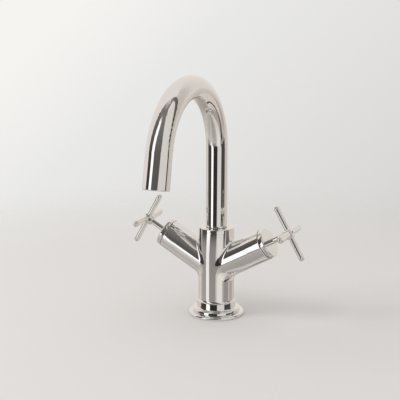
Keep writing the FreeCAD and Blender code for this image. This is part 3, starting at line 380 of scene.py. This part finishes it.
def foot_profile():
    """The foot's drum with its rounded shoulder, the hollow above it and the leaning collar."""
    drum = [(24.3, 3.6), (24.65, 3.75), (24.75, 3.95), (24.75 - 2.0 * FOOT_LEAN, 5.95)]
    shoulder = arc(SHOULDER_MIDDLE, SHOULDER_RADIUS, range(12, 91, 6))
    bend = arc(BEND_MIDDLE, -BEND_RADIUS, range(84, 3, -8))
    collar = [
        (20.5 - 5.6 * FOOT_LEAN, 14.3), (20.0, 14.7), (19.8, 14.9), (19.5, 15.1), (19.15, 15.4),
        (18.92, 15.75), (18.78, 16.15), (18.72, 16.6), (18.7, 17.2), (18.7, SKIN_LOW / MM),
    ]
    return drum + shoulder + bend + collar


def blended_body():
    """The CAD body, with the skin of its crossing exchanged for the blended one."""
    body = merged_copy("mixer_body")
    cut(body, False)
    mesh = body.data
    middles = np.array([face.center[:] for face in mesh.polygons])
    inside = outside_body(middles) > -SKIN_DEPTH
    for place, outward in cut_planes():
        inside &= (middles - np.array(place)) @ np.array(outward) < 0
    reach, height = np.hypot(middles[:, 0], middles[:, 1]), middles[:, 2]
    inside |= (reach > FOOT_INSIDE) & (height > FOOT_UNDERSIDE) & (height < SKIN_LOW)
    only(body)
    bpy.ops.object.mode_set(mode="EDIT")
    bpy.ops.mesh.select_all(action="DESELECT")
    bpy.ops.object.mode_set(mode="OBJECT")
    mesh.polygons.foreach_set("select", inside)
    bpy.ops.object.mode_set(mode="EDIT")
    bpy.ops.mesh.delete(type="FACE")
    bpy.ops.object.mode_set(mode="OBJECT")
    polish(body)
    skins = [body_skin(), turned_skin("foot_skin", foot_profile())]
    only(body)
    for skin in skins:
        skin.select_set(True)
    bpy.ops.object.join()
    return body


def painted_joint_shade(side, word):
    """A dark ring of painted shade in the joint between a branch and its cap, where the groove lies in
    shadow.
    """
    axis = branch_axis(side)[0]
    turn = side * (math.pi / 2 - BRANCH_RISE)
    bpy.ops.mesh.primitive_torus_add(
        major_segments=160, minor_segments=12, major_radius=JOINT_RADIUS, minor_radius=JOINT_SECTION,
        location=tuple(BRANCH_ROOT + JOINT_REACH * axis), rotation=(0, turn, 0))
    ring = bpy.context.active_object
    ring.name = f"painted_joint_shade_{word}"
    bpy.ops.object.transform_apply(location=True, rotation=True, scale=True)
    bpy.ops.object.shade_smooth()
    # The dark rubber finish on this ring is painted shade of the groove.
    finish_piece(ring, RUBBER)
    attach(ring, "mixer")


blended_body()
# Dark rings of painted shade in the joints of the caps.
painted_joint_shade(-1, "left")
painted_joint_shade(1, "right")


# Floor, light and surroundings

# Between which distances from the tap the floor fades away for all, and between which in reflections
FADE, MIRRORED_FADE = (0.24, 0.7), (0.032, 0.048)


def pale_floor():
    """A wide pale floor that fades into the background, and leaves the chrome its view of the room."""
    bpy.ops.mesh.primitive_circle_add(vertices=96, radius=4.0, fill_type="NGON", location=(0, 0, 0))
    floor = bpy.context.active_object
    floor.name = "floor"
    # Matt paint, rolled on: warm pale grey with almost no gloss.
    material, tree, shader, place = new_material("floor_paint")
    shader.inputs["Base Color"].default_value = linear("#e4e1df")
    shader.inputs["Roughness"].default_value = 0.85
    shader.inputs["Specular IOR Level"].default_value = 0.2
    away = add_node(tree, "ShaderNodeVectorMath", {"operation": "LENGTH"}, {0: place}).outputs["Value"]
    fades = []
    for near, far in (FADE, MIRRORED_FADE):
        fade = add_node(tree, "ShaderNodeMapRange", {"interpolation_type": "SMOOTHSTEP"}, {
            "Value": away, "From Min": near, "From Max": far,
        })
        fades.append(fade.outputs["Result"])
    path = add_node(tree, "ShaderNodeLightPath")
    mirrored = add_node(tree, "ShaderNodeMath", {"operation": "MULTIPLY"}, {
        0: path.outputs["Is Glossy Ray"], 1: fades[1],
    })
    share = add_node(tree, "ShaderNodeMath", {"operation": "MAXIMUM"}, {
        0: fades[0], 1: mirrored.outputs["Value"],
    })
    clear = add_node(tree, "ShaderNodeBsdfTransparent")
    mix = add_node(tree, "ShaderNodeMixShader", inputs={
        0: share.outputs["Value"], 1: shader.outputs["BSDF"], 2: clear.outputs["BSDF"],
    })
    output = next(n for n in tree.nodes if n.type == "OUTPUT_MATERIAL")
    tree.links.new(mix.outputs["Shader"], output.inputs["Surface"])
    finish_piece(floor, material)


# The room that reflections show, by azimuth in degrees: 0 in front of the spout, 90 towards +X.
# Three rings stand one above the other.
ROOM_LOW = [
    (-180, "#c2bbb6"), (-80, "#c2bbb6"), (-78, "#45403d"), (-38, "#353230"),
    (-37, "#ffffff"), (-15, "#ffffff"), (-14, "#2b2826"), (27, "#2b2826"),
    (29, "#c8c5c2"), (70, "#c8c5c2"), (72, "#3f3b39"), (114, "#46423f"),
    (118, "#b8b1ac"), (180, "#c2bbb6"),
]
ROOM_HIGH = [
    (-180, "#d4cec9"), (-160, "#d6d0cb"), (-69, "#d2ccc7"), (-66, "#3f3b39"), (-40, "#35312f"),
    (-39, "#ffffff"), (-22, "#ffffff"), (-21, "#514d4a"), (27, "#514d4a"), (29, "#c8c5c2"),
    (104.5, "#c8c2bd"), (106.5, "#35312f"), (116, "#35312f"), (118.5, "#b4aea9"), (135, "#b8b2ad"),
    (150, "#cac4bf"), (180, "#d4cec9"),
]
ROOM_TOP = [
    (-180, "#d6cfcb"), (-72, "#d6cfcb"), (-62, "#54504d"), (38, "#4c4845"), (44, "#d6cfcb"),
    (98, "#d6cfcb"), (103, "#3b3734"), (115, "#3b3734"), (120, "#d6cfcb"), (180, "#d6cfcb"),
]
# Where a ring gives way to the next, by the sine of the elevation, as all heights below are given
LOW_TO_HIGH, HIGH_TO_TOP = (-0.16, -0.08), (0.8, 0.91)
# A dark arch over the front and the right, by height and by azimuth
ARCH_COLOUR = "#3b3734"
ARCH_HEIGHT = [(0.92, 0.0), (0.937, 1.0), (0.978, 1.0), (0.994, 0.1)]
ARCH_WIDTH = [(-70, 0.0), (-25, 0.8), (30, 1.0), (109, 1.0), (117, 0.0)]
# The panels in front lean to the right with height, soon or late, and all the room stands a little to
# the left below. Each turn has its greatest angle and the heights between which it grows, and the leans
# have their shares by azimuth.
LEAN, LEAN_HEIGHT = math.radians(-20), (-0.2, 0.4)
LEAN_SHARE = [(-10, 0.0), (24, 0.9), (44, 1.0), (70, 0.6), (104, 0.0)]
LATE_LEAN, LATE_HEIGHT = math.radians(-16), (-0.1, 0.75)
LATE_SHARE = [(-62, 0.0), (-38, 0.35), (-22, 1.0), (0, 1.0), (24, 0.0)]
LOW_TURN, LOW_HEIGHT = math.radians(10), (-0.25, -0.28)
# The ground round the tap, darker behind on the right where its shadow falls, but lit again below that
GROUND = [
    (-180, "#a9a29d"), (-130, "#a9a29d"), (-90, "#cfc9c4"), (-50, "#c0bab5"), (-40, "#b8b2ad"),
    (27, "#b6b0ab"), (30, "#e0dad5"), (68, "#e0dad5"), (72, "#b8b2ac"), (114, "#b0aaa4"),
    (120, "#7a726c"), (138, "#7a726c"), (150, "#b6afa9"), (180, "#a9a29d"),
]
GROUND_SHADE = [(-1.0, 0.7), (-0.6, 0.82), (-0.42, 0.92), (-0.34, 1.0)]
LIT_COLOUR, LIT_HEIGHT = "#c4bdb7", (-0.36, -0.46)
LIT_SHARE = [(112, 0.0), (118, 1.0), (179, 1.0)]
# The ground's dark rim on the right: its top, its azimuth there, how fast that grows with the squared
# depth below RIM_BEND, and the distances from its middle between which it fades
RIM_COLOUR, RIM_TOP, RIM_BEND = "#45403d", (-0.33, -0.36), -0.3
RIM_TURN, RIM_CURVE = math.radians(79), math.radians(280)
RIM_WIDTH = (math.radians(7), math.radians(12))
# The ceiling takes the ground's place with height, and the rings lie over both by ROOM_SHARE
CEILING = "#d2cdc9"
OVER_GROUND = [(-0.15, 0.0), (0.2, 1.0)]
ROOM_SHARE = [
    (-1.0, 0.08), (-0.375, 0.12), (-0.345, 0.45), (-0.268, 0.55), (-0.26, 1.0), (0.1, 1.0),
    (0.45, 0.93), (0.95, 0.84), (1.0, 0.4),
]
# The strength of the room in reflections, where the plain light has 1
ROOM_GLOW = 1.28
# The plain light, and the backdrop that the camera sees, from the lower right of the picture to its
# upper left
SOFT_LIGHT = "#e6e5e3"
UPPER_LEFT = (-0.8, -0.36, 1.0)
BACKDROP = [
    (-0.43, "#d3d2d0"), (-0.36, "#dad9d7"), (-0.2, "#e3e2e0"), (-0.06, "#e9e9e7"),
    (0.0, "#efeeec"), (0.08, "#f5f4f1"),
]


def by_height(tree, height, stops):
    """A ramp of colours or shares over a height or another value from -1 to 1."""
    share = add_node(tree, "ShaderNodeMapRange", inputs={
        "Value": height, "From Min": -1.0, "From Max": 1.0,
    })
    ramp = add_node(tree, "ShaderNodeValToRGB", inputs={"Fac": share.outputs["Result"]})
    set_stops(ramp, [((z + 1) / 2, value) for z, value in stops])
    return ramp.outputs["Color"]


def by_azimuth(tree, azimuth, stops):
    """A ramp of colours or shares over the azimuth, once round."""
    share = add_node(tree, "ShaderNodeMapRange", inputs={
        "Value": azimuth, "From Min": -math.pi, "From Max": math.pi,
    })
    ramp = add_node(tree, "ShaderNodeValToRGB", inputs={"Fac": share.outputs["Result"]})
    set_stops(ramp, [((angle + 180) / 360, value) for angle, value in stops])
    return ramp.outputs["Color"]


def between(tree, height, heights, interpolation="SMOOTHSTEP"):
    """How far the height has come from the first of two heights to the second, from 0 to 1."""
    return add_node(tree, "ShaderNodeMapRange", {"interpolation_type": interpolation}, {
        "Value": height, "From Min": heights[0], "From Max": heights[1],
    }).outputs["Result"]


def laid_over(tree, colour, layers):
    """Lays further colours over the first, each by its own share."""
    for share, layer in layers:
        mix = add_node(tree, "ShaderNodeMix", {"data_type": "RGBA"}, {0: share, 6: colour, 7: layer})
        colour = mix.outputs[2]
    return colour


def leaning_azimuth(tree, azimuth, height):
    """The azimuth turned with the height, so that the panels lean."""
    shares = by_azimuth(tree, azimuth, LEAN_SHARE), by_azimuth(tree, azimuth, LATE_SHARE)
    turned = azimuth
    for heights, interpolation, share, most in (
            (LEAN_HEIGHT, "SMOOTHSTEP", shares[0], LEAN),
            (LATE_HEIGHT, "LINEAR", shares[1], LATE_LEAN),
            (LOW_HEIGHT, "LINEAR", 1.0, LOW_TURN)):
        part = add_node(tree, "ShaderNodeMath", {"operation": "MULTIPLY"}, {
            0: between(tree, height, heights, interpolation), 1: share,
        })
        turned = add_node(tree, "ShaderNodeMath", {"operation": "MULTIPLY_ADD"}, {
            0: part.outputs["Value"], 1: most, 2: turned,
        }).outputs["Value"]
    return turned


def rim_of_ground(tree, azimuth, height):
    """How clearly the ground's dark rim shows, which curves down and back on the right of the tap."""
    away = height
    for operation, value in (
            ("MULTIPLY", -1.0), ("ADD", RIM_BEND), ("MAXIMUM", 0.0), ("POWER", 2.0),
            ("MULTIPLY", RIM_CURVE), ("ADD", RIM_TURN), ("SUBTRACT", azimuth), ("ABSOLUTE", 0.0)):
        step = add_node(tree, "ShaderNodeMath", {"operation": operation}, {0: away, 1: value})
        away = step.outputs["Value"]
    near = add_node(tree, "ShaderNodeMapRange", inputs={
        "Value": away, "From Min": RIM_WIDTH[0], "From Max": RIM_WIDTH[1], "To Min": 1.0, "To Max": 0.0,
    })
    below = between(tree, height, RIM_TOP, "LINEAR")
    return add_node(tree, "ShaderNodeMath", {"operation": "MULTIPLY"}, {
        0: near.outputs["Result"], 1: below,
    }).outputs["Value"]


def mirrored_room(tree, azimuth, height):
    """What reflections show: the rings of the room over the ground and the ceiling."""
    lean = leaning_azimuth(tree, azimuth, height)
    arch = add_node(tree, "ShaderNodeMath", {"operation": "MULTIPLY"}, {
        0: by_height(tree, height, ARCH_HEIGHT), 1: by_azimuth(tree, azimuth, ARCH_WIDTH),
    })
    rings = laid_over(tree, by_azimuth(tree, lean, ROOM_LOW), [
        (between(tree, height, LOW_TO_HIGH), by_azimuth(tree, lean, ROOM_HIGH)),
        (between(tree, height, HIGH_TO_TOP), by_azimuth(tree, lean, ROOM_TOP)),
        (arch.outputs["Value"], linear(ARCH_COLOUR)),
    ])
    lit = add_node(tree, "ShaderNodeMath", {"operation": "MULTIPLY"}, {
        0: between(tree, height, LIT_HEIGHT, "LINEAR"), 1: by_azimuth(tree, azimuth, LIT_SHARE),
    })
    return laid_over(tree, linear("#000000"), [
        (by_height(tree, height, GROUND_SHADE), by_azimuth(tree, azimuth, GROUND)),
        (lit.outputs["Value"], linear(LIT_COLOUR)),
        (rim_of_ground(tree, azimuth, height), linear(RIM_COLOUR)),
        (by_height(tree, height, OVER_GROUND), linear(CEILING)),
        (by_height(tree, height, ROOM_SHARE), rings),
    ])


def room_light():
    """Plain soft light from all round; the camera sees a pale backdrop and the chrome a quiet room."""
    world = bpy.data.worlds.new("studio")
    bpy.context.scene.world = world
    world.use_nodes = True
    tree = world.node_tree
    tree.nodes.clear()
    towards = add_node(tree, "ShaderNodeTexCoord").outputs["Generated"]
    axes = add_node(tree, "ShaderNodeSeparateXYZ", inputs={"Vector": towards}).outputs
    front = add_node(tree, "ShaderNodeMath", {"operation": "MULTIPLY"}, {0: axes["Y"], 1: -1.0})
    azimuth = add_node(tree, "ShaderNodeMath", {"operation": "ARCTAN2"}, {
        0: axes["X"], 1: front.outputs["Value"],
    }).outputs["Value"]
    across = add_node(tree, "ShaderNodeVectorMath", {"operation": "DOT_PRODUCT"}, {
        0: towards, 1: UPPER_LEFT,
    }).outputs["Value"]
    path = add_node(tree, "ShaderNodeLightPath").outputs
    seen = laid_over(tree, linear(SOFT_LIGHT), [
        (path["Is Camera Ray"], by_height(tree, across, BACKDROP)),
        (path["Is Glossy Ray"], mirrored_room(tree, azimuth, axes["Z"])),
    ])
    glow = add_node(tree, "ShaderNodeMapRange", inputs={
        "Value": path["Is Glossy Ray"], "To Min": 1.0, "To Max": ROOM_GLOW,
    })
    light = add_node(tree, "ShaderNodeBackground", inputs={
        "Color": seen, "Strength": glow.outputs["Result"],
    })
    add_node(tree, "ShaderNodeOutputWorld", inputs={"Surface": light.outputs["Background"]})


def soft_lamp():
    """One large soft lamp from the upper left, for a soft shadow to the right."""
    bpy.ops.object.light_add(type="AREA", location=(-0.9, -0.7, 1.1))
    lamp = bpy.context.active_object
    lamp.name = "soft_lamp"
    lamp.data.shape = "DISK"
    lamp.data.size = 0.7
    lamp.data.energy = 6.0
    to_tap = Vector((0, 0, 0.1)) - lamp.location
    lamp.rotation_euler = to_tap.to_track_quat("-Z", "Y").to_euler()
    lamp.visible_glossy = False


# Where the photograph was taken from, how the camera was held, and the lens that gives its outlines
CAMERA_PLACE = Vector((381.8, -898.9, 346.7)) * MM
CAMERA_TURN, CAMERA_TILT = math.radians(24.02), math.radians(12.97)
LENS, SENSOR_WIDTH = 87.38, 36


def photo_camera():
    """The camera of the photograph."""
    flat = math.cos(CAMERA_TILT)
    back = Vector((math.sin(CAMERA_TURN) * flat, -math.cos(CAMERA_TURN) * flat, math.sin(CAMERA_TILT)))
    bpy.ops.object.camera_add(location=CAMERA_PLACE)
    camera = bpy.context.active_object
    camera.name = "photo_camera"
    camera.rotation_euler = back.to_track_quat("Z", "Y").to_euler()
    camera.data.lens = LENS
    camera.data.sensor_width = SENSOR_WIDTH
    camera.data.clip_start = 0.01
    camera.data.clip_end = 20
    bpy.context.scene.camera = camera


pale_floor()
room_light()
soft_lamp()
photo_camera()
bpy.context.scene.view_settings.view_transform = "Standard"
